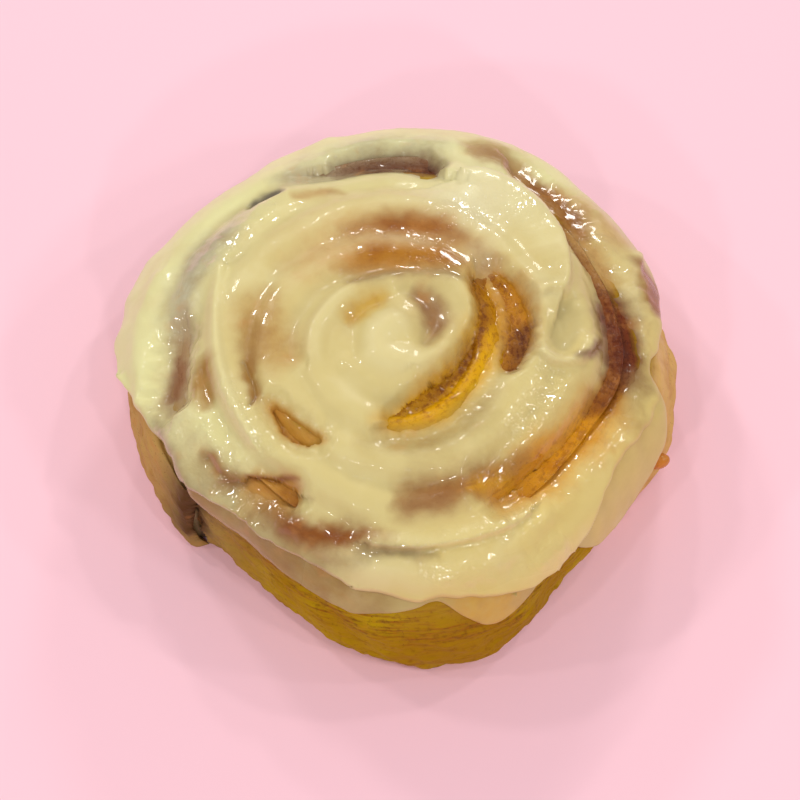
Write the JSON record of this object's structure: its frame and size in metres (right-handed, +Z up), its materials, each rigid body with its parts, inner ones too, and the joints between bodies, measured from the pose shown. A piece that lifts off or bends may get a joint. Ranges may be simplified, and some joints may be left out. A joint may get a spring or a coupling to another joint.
{
  "type": "cinnamon bun",
  "caption": "Round spiral-rolled bun with a cinnamon filling between its turns and a coat of cream icing spread over the top.",
  "frame": {"origin": "centre of the bun's bounding box, on the surface it stands on", "axes": "+Z up, -Y towards the front corner where the icing leaves the side bare, +X to the right seen from the front"},
  "size_m": [0.1032, 0.1074, 0.0403],
  "materials": {
    "dough": "soft baked dough, golden, matte",
    "filling": "cinnamon sugar syrup, dark brown, wet gloss",
    "icing": "cream cheese icing, cream, wet gloss"
  },
  "bodies": {
    "root": {"dough": "dough", "cinnamon_filling": "filling", "icing": "icing"}
  },
  "joints": []
}
